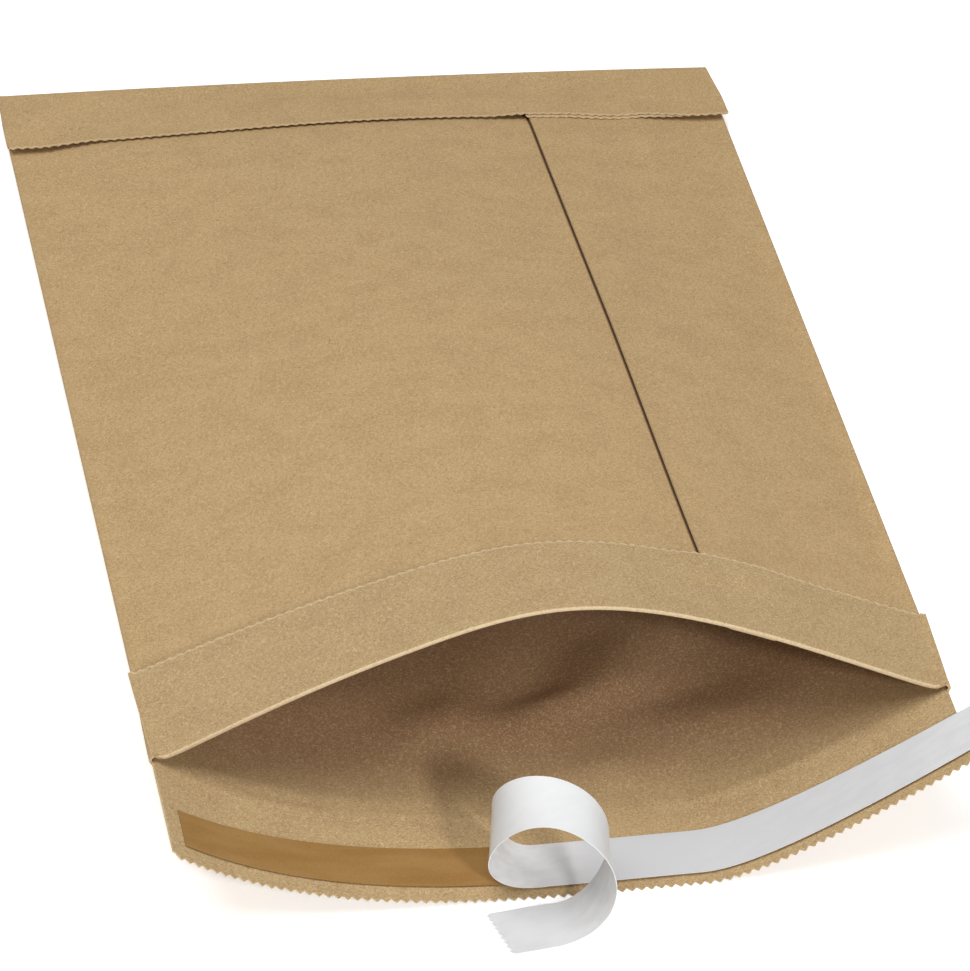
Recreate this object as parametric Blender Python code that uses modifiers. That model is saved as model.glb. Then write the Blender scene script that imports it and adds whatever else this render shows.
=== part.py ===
"""A padded mailing envelope that lies on its front panel with its mouth open.

One web of padded kraft paper makes the whole envelope. It is closed into a flat tube by a lap
seam down the back, its far end is folded over onto the back as a hem, and its mouth is cut at
the side folds: the back panel's end is folded outward as a cuff, and the front panel's end runs
on as the sealing lip. On the lip lie a strip of adhesive and its half-peeled release liner.

Sizes are in millimetres. X runs across the envelope, +Y from the mouth to the far end, +Z up.
A place on a panel is given by its share of the width, 0 at the left fold and 1 at the right
one, and by its distance from the mouth fold, which is negative on the lip.
"""

import math

import bmesh
import bpy
import numpy as np

MM = 0.001

# The web
WIDTH = 241.3  # flat width, side fold to side fold
BODY_LENGTH = 368.3  # mouth fold to far fold
PRESSED = 0.8  # thickness where the plies are pressed flat: edges, hem, cuff and lip
PADDED = 2.2  # thickness of the padded panels
PLY_GAP = 0.3  # air between two plies that are pressed together
FOLD_GAP = 0.4  # air inside a turned-over fold
PAD_GAP = 0.8  # air between the padded panels where they lie closest
PAD_MARGINS = (8.0, 12.0, 14.0)  # web without padding, at the sides, the mouth and the far end
PAD_SLOPES = (24.0, 28.0, 30.0)  # length over which the padding swells, likewise
MOUTH_GAP = 1.3  # air inside the side folds at the open mouth

# The open mouth: heights of the back panel above the table at even steps across the width
BACK_HEIGHTS = (23.9, 42.0, 57.1, 66.5, 61.4, 47.8, 31.9)
FLAT_FROM, FLAT_TO = 0.54, 0.668  # the part of the front panel's width that lies on the table
LEFT_CURL = 2.7  # how late the front panel bends up towards its left fold
RIGHT_KNEE = 0.25  # how softly it bends up towards the right one, after which it runs straight

# Hem at the far end
HEM = 33.8
HEM_SKEW = 0.9  # how much longer it is at the left, and shorter at the right
HEM_FLARE_LEFT, HEM_FLARE_RIGHT = 1.6, 2.0  # how far the free corners stand out past the sides
HEM_SWELL = 1.2  # extra height of the hem's top ply half way across
BACK_SWELL = 4.2  # extra height of the padded back half way across, between hem and cuff
SWELL_START = 40.0  # from the mouth fold to where that swell begins
SWELL_SLOPES = (160.0, 45.0)  # its slopes towards the mouth and towards the far fold
HEM_CORNER_LIFT = 1.8  # how far the unglued corners have sprung up
HEM_CORNER_SHARE = 0.07  # share of the width over which a corner comes loose
UNDER_PLY_LEFT, UNDER_PLY_RIGHT = 0.3, 1.3  # how far the hem's lower ply shows past the top one

# Cuff at the mouth
CUFF_LEFT, CUFF_RIGHT = 40.9, 36.6
CUFF_FLARE_LEFT, CUFF_FLARE_RIGHT = 1.3, 1.6
CUFF_LIFT = 0.3  # how far the cuff's free edge stands off the back

# Lip
LIP_LEFT, LIP_RIGHT = 42.6, 34.2

# Lap seam down the back
SEAM_TEETH = 57  # the seam's place across the width, counted in teeth of the pinked edges
LAP_TEETH = 5  # width of the overlap, in the same teeth
SEAM_SKEW = 1.7  # how far the seam runs off its line at each end, to the right at the hem
SEAM_SHIFT = 0.8  # how far that line lies to the right of its column of the mesh
SEAM_HIDDEN = 8.0  # how far the loose lap runs on under the hem and under the cuff
SEAM_CLOSE = 8.0  # length over which it closes there
SEAM_SPLIT = 0.6  # width of the web between the two sides of the seam where it is closed

# Pinked edges
TEETH = 80  # teeth across the width
TOOTH_DEPTH = 1.7

# Adhesive strip and release liner; the insets are from the roots of the lip's teeth
ADHESIVE_WIDTH = 16.0
ADHESIVE_INSETS = (5.2, 3.2)  # at the left fold and at the right one
ADHESIVE_START = 3.5  # from the side folds
FILM = 0.25  # thickness of the adhesive, and of the liner
LAY_GAP = 0.3  # air under the adhesive, and under the liner
LINER_WIDTH = 17.6
LINER_INSETS = (1.8, 2.7)
LINER_OVERHANG = 12.0  # past the right fold
LIFT_SHARE = 0.464  # share of the width at which the liner leaves the lip
LOOP_WIDTH, LOOP_HEIGHT = 31.1, 33.8
LOOP_DRIFT = (0.0, 3.8, 13.3, 22.4, 25.6)  # towards -Y, at each quarter turn
LOOP_SKEW = (0.0, -11.5, -12.8, -2.4, -24.0)  # turn of the width in plan, in degrees, likewise
LOOP_LEAN = (0.0, 35.0, 9.0, 12.5, 0.0)  # fall of the width towards -Y, in degrees, likewise
LOOP_SHIFT = -1.5  # along X over the whole turn
TAIL_LENGTH = 13.5
TAIL_HEIGHT = 2.2  # height of the liner's centre line over the table as it ends its turn
TAIL_DROP = 1.0  # how far it sinks towards the table along the tail
TAIL_CUT = 10.6  # degrees by which its end is off square
LINER_TEETH = 9
LINER_TOOTH_DEPTH = 1.3

# How fine the mesh is
COLUMNS = 20
MIDDLE_ROWS = 5
TURN_STEPS = 4  # facets round a half turn

SIDE_TURN = 2 * PRESSED + PLY_GAP  # height of a side fold
SIDE_ROOM = 1.2  # how much further a side fold reaches out than a round one of its height
SIDE_REACH = SIDE_TURN / 2 * SIDE_ROOM
SKIN_WIDTH = WIDTH - 2 * SIDE_REACH  # between the side folds' centres
SEAM = SEAM_TEETH / TEETH
LAP = LAP_TEETH / TEETH


def smooth(x):
    x = min(max(x, 0.0), 1.0)
    return x * x * (3 - 2 * x)


def spline(heights, x):
    """A natural cubic through evenly spaced heights, read at x from 0 to 1."""
    h = np.array(heights, float)
    n = len(h) - 1
    rows = np.eye(n + 1)
    right = np.zeros(n + 1)
    for i in range(1, n):
        rows[i, i - 1 : i + 2] = (1, 4, 1)
        right[i] = 6 * (h[i - 1] - 2 * h[i] + h[i + 1])
    bend = np.linalg.solve(rows, right)
    i = min(int(x * n), n - 1)
    t = x * n - i
    return (
        h[i] * (1 - t)
        + h[i + 1] * t
        + ((1 - t) ** 3 - (1 - t)) * bend[i] / 6
        + (t**3 - t) * bend[i + 1] / 6
    )


def front_height(s):
    """Height of the front panel above the table along the mouth fold."""
    if s < FLAT_FROM:
        return BACK_HEIGHTS[0] * ((FLAT_FROM - s) / FLAT_FROM) ** LEFT_CURL
    if s > FLAT_TO:
        run = (s - FLAT_TO) / (1 - FLAT_TO)
        return BACK_HEIGHTS[-1] * run**2 * (1 + RIGHT_KNEE) / (run + RIGHT_KNEE)
    return 0.0


def back_height(s):
    return spline(BACK_HEIGHTS, s)


def across(height):
    """Places across the open mouth, as (shares, x), for a panel that keeps its flat width."""
    steps = 240
    shares = np.linspace(0, 1, steps + 1)
    z = np.array([height(s) for s in shares])
    run = SKIN_WIDTH / steps
    x = np.concatenate([[0], np.cumsum(np.sqrt(np.maximum(run**2 - np.diff(z) ** 2, 0)))])
    return shares, x - x[-1] / 2


BACK_SHARES, BACK_X = across(back_height)
FRONT_SHARES, FRONT_X = across(front_height)
MOUTH_HALF = (BACK_X[-1] + FRONT_X[-1]) / 2
BACK_X = BACK_X * MOUTH_HALF / BACK_X[-1]
FRONT_X = FRONT_X * MOUTH_HALF / FRONT_X[-1]


def ruled(s, q, shares, xs, height):
    """A point on a straight line from the mouth fold to the far fold, or beyond the mouth."""
    inside = min(max(s, 0.0), 1.0)
    x = np.interp(inside, shares, xs)
    z = height(inside)
    if inside != s:
        step = 0.02
        near = inside - math.copysign(step, s - inside)
        x += (x - np.interp(near, shares, xs)) * (s - inside) / (inside - near)
        z += (z - height(near)) * (s - inside) / (inside - near)
    far_x = (s - 0.5) * SKIN_WIDTH
    y = -math.sqrt(max(BODY_LENGTH**2 - (x - far_x) ** 2 - z**2, 0))
    v = q / BODY_LENGTH
    return np.array([x * (1 - v) + far_x * v, y * (1 - v), z * (1 - v)])


def front(s, q):
    return ruled(s, q, FRONT_SHARES, FRONT_X, front_height)


def padding(s, q):
    """0 where the web is pressed flat along its edges, 1 where it is fully padded."""
    swell = 1
    for inward, margin, slope in zip((min(s, 1 - s) * WIDTH, q, BODY_LENGTH - q), PAD_MARGINS, PAD_SLOPES):
        swell *= smooth((inward - margin) / slope)
    return swell


def seam_padding(s, q):
    """The back panel's padding, which also stops short of the lap seam."""
    clear = max(SEAM - s, s - SEAM - LAP - 1 / 40)
    return padding(s, q) * smooth(clear * WIDTH / 20)


def front_thickness(s, q):
    return PRESSED + (PADDED - PRESSED) * padding(s, q)


def back_thickness(s, q):
    return PRESSED + (PADDED - PRESSED) * seam_padding(s, q)


def lap_lift(s, q):
    """How far the upper side of the lap seam stands above the back panel."""
    near = min(CUFF_LEFT, CUFF_RIGHT) - SEAM_HIDDEN - SEAM_CLOSE
    far = BODY_LENGTH - HEM + SEAM_HIDDEN + SEAM_CLOSE
    along = min((q - near) / SEAM_CLOSE, (far - q) / SEAM_CLOSE)
    past = 1 - (s - SEAM - LAP) / (0.85 - SEAM - LAP)
    return (PRESSED + PLY_GAP) * min(max(along, 0), 1) * min(max(past, 0), 1)


def back_swell(s, q):
    near = smooth((q - SWELL_START) / SWELL_SLOPES[0])
    return BACK_SWELL * 4 * s * (1 - s) * near * smooth((BODY_LENGTH - q) / SWELL_SLOPES[1])


def back(s, q, lifted=False):
    """A point on the outer skin of the back panel."""
    point = ruled(s, q, BACK_SHARES, BACK_X, back_height)
    floor = front(s, q)[2]
    least = back_thickness(s, q) + front_thickness(s, q)
    least += PLY_GAP + (PAD_GAP - PLY_GAP) * padding(s, q)
    least += (MOUTH_GAP - PLY_GAP) * smooth(1 - q / 40)
    opening = max(point[2] - floor, 0)
    point[2] = floor + (opening**3 + least**3) ** (1 / 3) + back_swell(s, q)
    if lifted:
        point += back_normal(s, q) * lap_lift(s, q)
    return point


def back_normal(s, q):
    ds, dq = 0.004, 1.0
    low_s, high_s = max(s - ds, 0), min(s + ds, 1)
    low_q, high_q = max(q - dq, 0), min(q + dq, BODY_LENGTH)
    normal = np.cross(back(high_s, q) - back(low_s, q), back(s, high_q) - back(s, low_q))
    return normal / np.linalg.norm(normal)


def front_normal(s, q):
    """Points into the envelope, or up from the lip."""
    normal = np.cross(front(s + 0.004, q) - front(s - 0.004, q), front(s, q + 1) - front(s, q - 1))
    return normal / np.linalg.norm(normal)


def between(left, right, s):
    return left + (right - left) * s


def cuff(s, q):
    """The cuff's skin, which faces down onto the back panel."""
    length = between(CUFF_LEFT, CUFF_RIGHT, s)
    share = min(max(q / length, 0), 1)
    rise = FOLD_GAP + CUFF_LIFT * share**2
    rise += lap_lift(max(s, SEAM), q) * smooth((s - SEAM + 0.06) / 0.06)
    point = back(s, min(q, BODY_LENGTH)) + back_normal(s, q) * rise
    point[0] += flare(s, CUFF_FLARE_LEFT, CUFF_FLARE_RIGHT, share)
    point[0] += SIDE_REACH * (2 * s - 1)
    return point


def cuff_turn(s, angle):
    """A point round the mouth fold, from the back panel at -90 degrees to the cuff at 90."""
    normal = back_normal(s, 0)
    out = back(s, 0) - back(s, 2)
    out = out / np.linalg.norm(out)
    radius = FOLD_GAP / 2
    point = back(s, 0) + normal * radius * (1 + math.sin(angle)) + out * radius * math.cos(angle)
    point[0] += SIDE_REACH * (2 * s - 1) * smooth((angle + math.pi / 2) / math.pi)
    return point


def flare(s, left, right, share):
    return between(-left, right, s) * share


def hem_rise(s, q):
    """Height added to the hem over the back panel: the lap below it and its loose corners."""
    share = min(max((BODY_LENGTH - q) / HEM, 0), 1)
    corner = smooth(1 - min(s, 1 - s) / HEM_CORNER_SHARE)
    lap = lap_lift(max(s, SEAM), q) * smooth((s - SEAM + 0.06) / 0.06)
    return lap + HEM_CORNER_LIFT * corner * share**2


def hem(s, p, top):
    """A point on the hem's skin, p from the far fold; top is the ply that faces up."""
    q = BODY_LENGTH - p
    rise = FOLD_GAP + hem_rise(s, q)
    if top:
        rise += SIDE_TURN + HEM_SWELL * 4 * s * (1 - s)
    point = back(s, q) + back_normal(s, q) * rise
    point[0] += flare(s, HEM_FLARE_LEFT, HEM_FLARE_RIGHT, p / HEM)
    return point


def far_turn(s, angle, outer):
    """A point round the far fold, from the bottom at -90 degrees to the top at 90."""
    if outer:
        low, high = front(s, BODY_LENGTH), hem(s, 0, True)
    else:
        low, high = back(s, BODY_LENGTH), hem(s, 0, False)
    centre = (low + high) / 2
    radius = (high[2] - low[2]) / 2
    return centre + np.array([0, radius * math.cos(angle), radius * math.sin(angle)])


def side_turn(first, last, outward, steps):
    """The points between two skins round a side fold."""
    centre = (first + last) / 2
    arm = first - centre
    radius = np.linalg.norm(arm)
    found = []
    for i in range(1, steps):
        angle = math.pi * i / steps
        reach = np.array([outward * radius * math.sin(angle), 0, 0])
        found.append(centre + (arm * math.cos(angle) + reach) * SIDE_ROOM)
    return found


class Sheet:
    """An open surface under construction, with the web's thickness at each vertex."""

    def __init__(self):
        self.mesh = bmesh.new()
        self.thickness = []

    def vertex(self, point, thickness):
        self.thickness.append(thickness)
        return self.mesh.verts.new(np.array(point) * MM)

    def row(self, points, thickness):
        return [self.vertex(point, thickness) for point in points]

    def strip(self, lower, upper):
        """Quads between two rows of vertices."""
        for i in range(min(len(lower), len(upper)) - 1):
            self.mesh.faces.new((lower[i], lower[i + 1], upper[i + 1], upper[i]))

    def pinked(self, row, shares, point_at, thickness, toothed_first):
        """Faces from a row to a zigzag edge. point_at(share, depth) gives the edge's points."""
        marks = list(zip(shares, row))
        last = None
        for (start, first), (end, second) in zip(marks, marks[1:]):
            count = max(2 * round(abs(end - start) * TEETH), 1)
            edge = [last] if last else [self.vertex(point_at(start, 0), thickness)]
            for i in range(1, count + 1):
                depth = TOOTH_DEPTH * (i % 2)
                edge.append(self.vertex(point_at(start + (end - start) * i / count, depth), thickness))
            last = edge[-1]
            ring = [first, second] + edge[::-1]
            self.mesh.faces.new(ring[::-1] if toothed_first else ring)

    def solid(self, name, collection, material, full):
        """The finished object: the surface with its thickness grown behind it."""
        mesh = bpy.data.meshes.new(name)
        self.mesh.to_mesh(mesh)
        self.mesh.free()
        made = bpy.data.objects.new(name, mesh)
        collection.objects.link(made)
        group = made.vertex_groups.new(name="thickness")
        for index, value in enumerate(self.thickness):
            group.add([index], min(value / full, 1), "REPLACE")
        wall = made.modifiers.new("wall", "SOLIDIFY")
        wall.thickness = full * MM
        wall.offset = -1
        wall.use_even_offset = True
        wall.use_quality_normals = True
        wall.vertex_group = group.name
        mesh.materials.append(material)
        return made


def material(name, colour, roughness):
    made = bpy.data.materials.new(name)
    made.use_nodes = True
    shader = made.node_tree.nodes["Principled BSDF"]
    shader.inputs["Base Color"].default_value = (*colour, 1)
    shader.inputs["Roughness"].default_value = roughness
    shader.inputs["Metallic"].default_value = 0
    return made


def seam_share(q):
    """The seam's own line, which runs slightly askew between the hem and the cuff."""
    return SEAM + (SEAM_SHIFT + SEAM_SKEW * (2 * q / BODY_LENGTH - 1)) / WIDTH


def body_rows():
    """Distances from the mouth fold of the mesh's rows across the body."""
    cuff_edge = min(CUFF_LEFT, CUFF_RIGHT)
    near = [0, 13, cuff_edge - SEAM_HIDDEN - SEAM_CLOSE, cuff_edge - SEAM_HIDDEN]
    far = [BODY_LENGTH - x for x in (HEM - SEAM_HIDDEN, HEM - SEAM_HIDDEN - SEAM_CLOSE, 8, 0)]
    start, end = max(CUFF_LEFT, CUFF_RIGHT) + 4, BODY_LENGTH - HEM - 4
    middle = [start + (end - start) * i / MIDDLE_ROWS for i in range(MIDDLE_ROWS + 1)]
    return near, middle, far


def back_columns(q=None):
    """Shares of the back panel's columns: left of the seam with it, and right of it with it."""
    left = [i / COLUMNS for i in range(int(SEAM * COLUMNS))]
    right = [SEAM + LAP * 0.6, SEAM + LAP, SEAM + LAP + 3 / TEETH, 0.85, 0.9, 0.95, 1.0]
    if q is not None:
        return left + [seam_share(q)], [seam_share(q)] + right
    split = SEAM_SPLIT / 2 / WIDTH
    return left + [SEAM - split], [SEAM + split] + right


def make_envelope(collection):
    sheet = Sheet()
    near, middle, far = body_rows()
    rows = near + middle + far
    front_shares = [1 - i / COLUMNS for i in range(COLUMNS + 1)]
    closed = (near[:3], far[1:])
    tube = []
    flaps = []
    mouth = {}
    for q in rows:
        joined = q in closed[0] or q in closed[1]
        left, right = back_columns(None if joined else q)
        left_points = [back(s, q) for s in left]
        right_points = [back(s, q, True) for s in right]
        front_points = [front(s, q) for s in front_shares]
        turns = (
            side_turn(right_points[-1], front_points[0], 1, TURN_STEPS),
            side_turn(front_points[-1], left_points[0], -1, TURN_STEPS),
        )
        left_row = [sheet.vertex(p, back_thickness(s, q)) for p, s in zip(left_points, left)]
        right_row = [sheet.vertex(p, back_thickness(s, q)) for p, s in zip(right_points, right)]
        front_row = [sheet.vertex(p, front_thickness(s, q)) for p, s in zip(front_points, front_shares)]
        right_turn = sheet.row(turns[0], PRESSED)
        left_turn = sheet.row(turns[1], PRESSED)
        tube.append(right_row + right_turn + front_row + left_turn + left_row)
        if joined:
            tube[-1].append(right_row[0])
        else:
            under = [back(s, q) for s in (right[1], right[2])]
            flaps.append([left_row[-1]] + sheet.row(under, PRESSED))
        if q == 0:
            mouth = {
                "back": left_row + right_row,
                "front": [right_turn[2]] + front_row + [left_turn[0]],
            }
    left, right = back_columns()
    shares = left + right
    for step in range(1, TURN_STEPS):
        angle = math.pi * (step / TURN_STEPS - 0.5)
        tube.append(
            hem_row(
                sheet,
                [far_turn(s, angle, False) for s in shares],
                [far_turn(s, angle, True) for s in front_shares],
                len(left),
            )
        )
    for q in far[::-1]:
        p = BODY_LENGTH - q
        low = [hem(s, p, False) for s in shares]
        top = [hem(s, p, True) for s in front_shares]
        tube.append(hem_row(sheet, low, top, len(left)))
    for lower, upper in zip(tube, tube[1:]):
        sheet.strip(lower, upper)
    for lower, upper in zip(flaps, flaps[1:]):
        sheet.strip(lower, upper)
    pink_hem(sheet, tube[-1], left, right, front_shares)
    make_cuff(sheet, mouth["back"], shares, near)
    make_lip(sheet, mouth["front"], front_shares)
    return sheet.solid("envelope", collection, material("kraft", (0.48, 0.35, 0.165), 0.85), PADDED)


def hem_row(sheet, low, top, left_count):
    """One closed row of the tube where it is turned over, in the order of the body's rows."""
    turns = (
        side_turn(low[-1], top[0], 1, TURN_STEPS),
        side_turn(top[-1], low[0], -1, TURN_STEPS),
    )
    low_row = sheet.row(low, PRESSED)
    top_row = sheet.row(top, PRESSED)
    right_turn = sheet.row(turns[0], PRESSED)
    left_turn = sheet.row(turns[1], PRESSED)
    left_part, right_part = low_row[:left_count], low_row[left_count:]
    return right_part + right_turn + top_row + left_turn + left_part + right_part[:1]


def pink_hem(sheet, row, left, right, front_shares):
    """The pinked free edges of the hem's two plies."""

    def low_edge(s, depth):
        past = UNDER_PLY_LEFT if s < SEAM else UNDER_PLY_RIGHT
        return hem(s, HEM + HEM_SKEW * (1 - 2 * s) + past + depth - TOOTH_DEPTH / 2, False)

    def top_edge(s, depth):
        return hem(s, HEM + HEM_SKEW * (1 - 2 * s) + depth - TOOTH_DEPTH / 2, True)

    right_count = len(right)
    turn = TURN_STEPS - 1
    start = right_count + turn
    sheet.pinked(row[:right_count], right, low_edge, PRESSED, False)
    sheet.pinked(row[start : start + COLUMNS + 1], front_shares, top_edge, PRESSED, False)
    sheet.pinked(row[start + COLUMNS + 1 + turn : -1], left, low_edge, PRESSED, False)


def make_cuff(sheet, mouth, shares, near):
    """The back panel's end, turned outward over the mouth fold and laid on the back."""
    last = mouth
    for step in range(1, TURN_STEPS):
        angle = math.pi * (step / TURN_STEPS - 0.5)
        row = sheet.row([cuff_turn(s, angle) for s in shares], PRESSED)
        sheet.strip(row, last)
        last = row
    for q in near:
        row = sheet.row([cuff(s, q) for s in shares], PRESSED)
        sheet.strip(row, last)
        last = row

    def edge(s, depth):
        return cuff(s, between(CUFF_LEFT, CUFF_RIGHT, s) + depth - TOOTH_DEPTH / 2)

    sheet.pinked(last, shares, edge, PRESSED, True)


def make_lip(sheet, mouth, shares):
    """The front panel's end, which runs on past the mouth."""
    last = mouth
    reach = min(LIP_LEFT, LIP_RIGHT) - 4
    for share in (0.35, 0.7, 1.0):
        q = -reach * share
        row = sheet.row(lip_row(q, shares), PRESSED)
        sheet.strip(row, last)
        last = row

    def edge(s, depth):
        return front(s, -(between(LIP_LEFT, LIP_RIGHT, s) + depth - TOOTH_DEPTH / 2))

    sheet.pinked(last[1:-1], shares, edge, PRESSED, True)


def lip_row(q, shares):
    """Points across the lip, whose sides lie flat where the side folds were cut."""
    reach = SIDE_REACH / SKIN_WIDTH
    return [front(s, q) for s in [1 + reach] + shares + [-reach]]


def on_lip(s, w, width, insets, height):
    """A point on a strip along the lip, w from 0 at its inner edge to 1 at its outer one."""
    outer = between(LIP_LEFT, LIP_RIGHT, s) - TOOTH_DEPTH / 2 - between(*insets, s)
    q = (1 - w) * width - outer
    return front(s, q) + front_normal(s, q) * (PRESSED + height)


def on_adhesive(s, w):
    return on_lip(s, w, ADHESIVE_WIDTH, ADHESIVE_INSETS, LAY_GAP + FILM)


def on_liner(s, w):
    return on_lip(s, w, LINER_WIDTH, LINER_INSETS, 2 * LAY_GAP + 2 * FILM)


def make_adhesive(collection):
    """A thin strip of adhesive along the lip's inner face."""
    sheet = Sheet()
    start = ADHESIVE_START / WIDTH
    shares = [start] + [i / COLUMNS for i in range(1, COLUMNS)] + [1 - start]
    rows = [sheet.row([on_adhesive(s, w) for s in shares], FILM) for w in (1, 0.5, 0)]
    for lower, upper in zip(rows, rows[1:]):
        sheet.strip(lower, upper)
    return sheet.solid("adhesive_strip", collection, material("adhesive", (0.34, 0.19, 0.06), 0.45), FILM)


def loop_centre(t):
    """The liner's centre line round its loop, t from 0 to 1."""
    base = on_liner(LIFT_SHARE, 0.5)
    angle = 2 * math.pi * t
    x = base[0] - LOOP_WIDTH / 2 * math.sin(angle) + LOOP_SHIFT * t
    z = base[2] + LOOP_HEIGHT / 2 * (1 - math.cos(angle))
    z += (TAIL_HEIGHT - base[2]) * smooth(t)
    return np.array([x, base[1] - spline(LOOP_DRIFT, t), z])


def loop_section(t):
    """Centre, heading and width direction of the liner in its loop."""
    heading = loop_centre(min(t + 0.002, 1)) - loop_centre(max(t - 0.002, 0))
    heading = heading / np.linalg.norm(heading)
    skew = math.radians(spline(LOOP_SKEW, t))
    lean = math.radians(spline(LOOP_LEAN, t)) * smooth(t / 0.2)
    side = np.array([math.sin(skew), -math.cos(skew), -math.tan(lean)])
    side = side - heading * np.dot(side, heading)
    return loop_centre(t), heading, side / np.linalg.norm(side)


def tail_row(share):
    """Points across the tail, whose end is cut off square by TAIL_CUT."""
    centre, heading, side = loop_section(1)
    flat = np.array([heading[0], heading[1], 0])
    flat = flat / np.linalg.norm(flat)
    flat[2] = -TAIL_DROP / TAIL_LENGTH
    row = []
    for w in (0, 0.5, 1):
        reach = TAIL_LENGTH * share - (w - 0.5) * LINER_WIDTH * math.tan(math.radians(TAIL_CUT)) * share
        row.append(centre + side * (w - 0.5) * LINER_WIDTH + flat * reach)
    return row, flat


def make_liner(collection):
    """The release liner: on the lip at the right, then one loose helical turn and a tail."""
    sheet = Sheet()
    places = (0, 0.5, 1)
    rows = []
    shares = [1 + LINER_OVERHANG / WIDTH] + [i / COLUMNS for i in range(COLUMNS, 0, -1)]
    for s in shares:
        if s > LIFT_SHARE + 0.01:
            rows.append([on_liner(s, w) for w in places])
    turns = 32
    for i in range(turns + 1):
        centre, _, side = loop_section(i / turns)
        rows.append([centre + side * (w - 0.5) * LINER_WIDTH for w in places])
    for share in (0.5, 1):
        row, heading = tail_row(share)
        rows.append(row)
    made = [sheet.row(row, FILM) for row in rows]
    for lower, upper in zip(made, made[1:]):
        sheet.strip(lower, upper)
    end_teeth(sheet, made[-1], rows[-1], heading)
    return sheet.solid("release_liner", collection, material("liner", (0.75, 0.76, 0.77), 0.35), FILM)


def end_teeth(sheet, row, points, heading):
    """The liner's pinked end."""
    first, last = points[0], points[-1]
    edge = []
    for i in range(2 * LINER_TEETH + 1):
        place = first + (last - first) * i / (2 * LINER_TEETH)
        edge.append(sheet.vertex(place + heading * (0.6 + LINER_TOOTH_DEPTH * (i % 2)), FILM))
    sheet.mesh.faces.new(row + edge[::-1])


def main():
    for old in list(bpy.data.objects):
        bpy.data.objects.remove(old, do_unlink=True)
    collection = bpy.data.collections.new("padded_envelope")
    bpy.context.scene.collection.children.link(collection)
    pieces = [make_envelope(collection), make_adhesive(collection), make_liner(collection)]
    scene = bpy.context.evaluated_depsgraph_get()
    corners = np.array([corner for piece in pieces for corner in piece.evaluated_get(scene).bound_box])
    middle = (corners.min(axis=0) + corners.max(axis=0)) / 2
    for piece in pieces:
        piece.location = (-middle[0], -middle[1], 0)


main()
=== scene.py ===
"""The padded mailing envelope as it looks, round the rigid part of the shared frame.

One web of kraft paper makes the envelope: a flat tube with a lap seam down its back, a hem at
the far end, a cuff and a sealing lip at the open mouth. A golden strip of adhesive lies on the
lip, with its half-peeled release liner. Shapes are in millimetres in the web's own frame until
they become vertices. A place on a panel is given by its share of the width, 0 at the left fold
and 1 at the right one, and by its distance from the mouth fold, negative on the lip.
"""

import math

import bpy
import numpy as np
from mathutils import Matrix, Vector


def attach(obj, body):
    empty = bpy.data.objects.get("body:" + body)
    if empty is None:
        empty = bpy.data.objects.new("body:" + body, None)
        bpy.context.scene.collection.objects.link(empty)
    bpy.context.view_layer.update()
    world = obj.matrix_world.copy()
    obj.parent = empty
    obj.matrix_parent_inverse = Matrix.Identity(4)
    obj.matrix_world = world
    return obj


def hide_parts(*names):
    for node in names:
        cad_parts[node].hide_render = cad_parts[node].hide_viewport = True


MM = 0.001
ORIGIN = np.array([-0.404, 213.842, 0.0])  # from the web's own frame to the part's

# The web
WIDTH = 241.3
BODY_LENGTH = 368.3
PRESSED = 0.8  # the web's thickness where it is pressed flat
PADDED = 2.2  # and where it is fully padded
PAD_MARGINS = (8.0, 12.0, 14.0)  # flat web along the sides, the mouth fold and the far fold
PAD_SLOPES = (24.0, 28.0, 30.0)  # from there to the full padding
SEAM_SLOPE = 20.0  # the same beside the lap seam
PLY_GAP = 0.3
FOLD_GAP = 0.4
PAD_GAP = 0.8
MOUTH_GAP = 1.3
MOUTH_EASE = 40.0  # how far in from the mouth that gap reaches
# heights of the mouth fold above the table, evenly spaced across it
BACK_HEIGHTS = (23.9, 42.0, 57.1, 66.5, 61.4, 47.8, 31.9)
FLAT_FROM, FLAT_TO = 0.54, 0.656
LEFT_CURL = 2.7
RIGHT_KNEE = 0.28
HEM = 33.8
HEM_SKEW = 0.9
HEM_FLARE = (1.6, 2.0)
HEM_SWELL = 1.2
BACK_SWELL = 4.2  # extra height of the padded back half way across
SWELL_START = 40.0  # from the mouth fold
SWELL_SLOPES = (160.0, 45.0)
HEM_CORNER_LIFT = 1.7
HEM_CORNER_SHARE = 0.16
UNDER_PLY_LEFT, UNDER_PLY_RIGHT = -2.4, 1.1
CUFF = (40.9, 36.6)
CUFF_FLARE = (1.3, 1.6)
CUFF_LIFT = 0.3
LIP = (42.6, 34.2)
LAP_TEETH = 5
SEAM_TEETH = 57
SEAM_SKEW = 1.7
SEAM_SHIFT = 0.8
SEAM_HIDDEN = 8.0  # how far the open seam runs on under the hem and the cuff
SEAM_CLOSE = 8.0  # and over which length it then closes
SEAM_SHADE_HIDDEN = 6.0  # how far its painted shade line runs on there
LAP_FADE = 0.85  # share of the width at which the lap's rise has died away
TEETH = 80
LIP_TEETH = 84
TOOTH_DEPTH = 1.7  # of the solids' lip, from whose edge the strips keep their distance
LIP_TOOTH_DEPTH = 1.5
FINE_TOOTH_DEPTH = 0.9  # on the hem and on the cuff
FOLD_PLY = 0.5  # the web where it is creased hard, at the mouth fold and on the cuff
FOLD_AIR = 0.2  # air inside the mouth fold and under the cuff
EDGE_PLY = 0.4  # each of the hem's plies at their pinked edges
EDGE_ROW = 1.5  # from a pinked edge to the last row of the mesh before it

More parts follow.
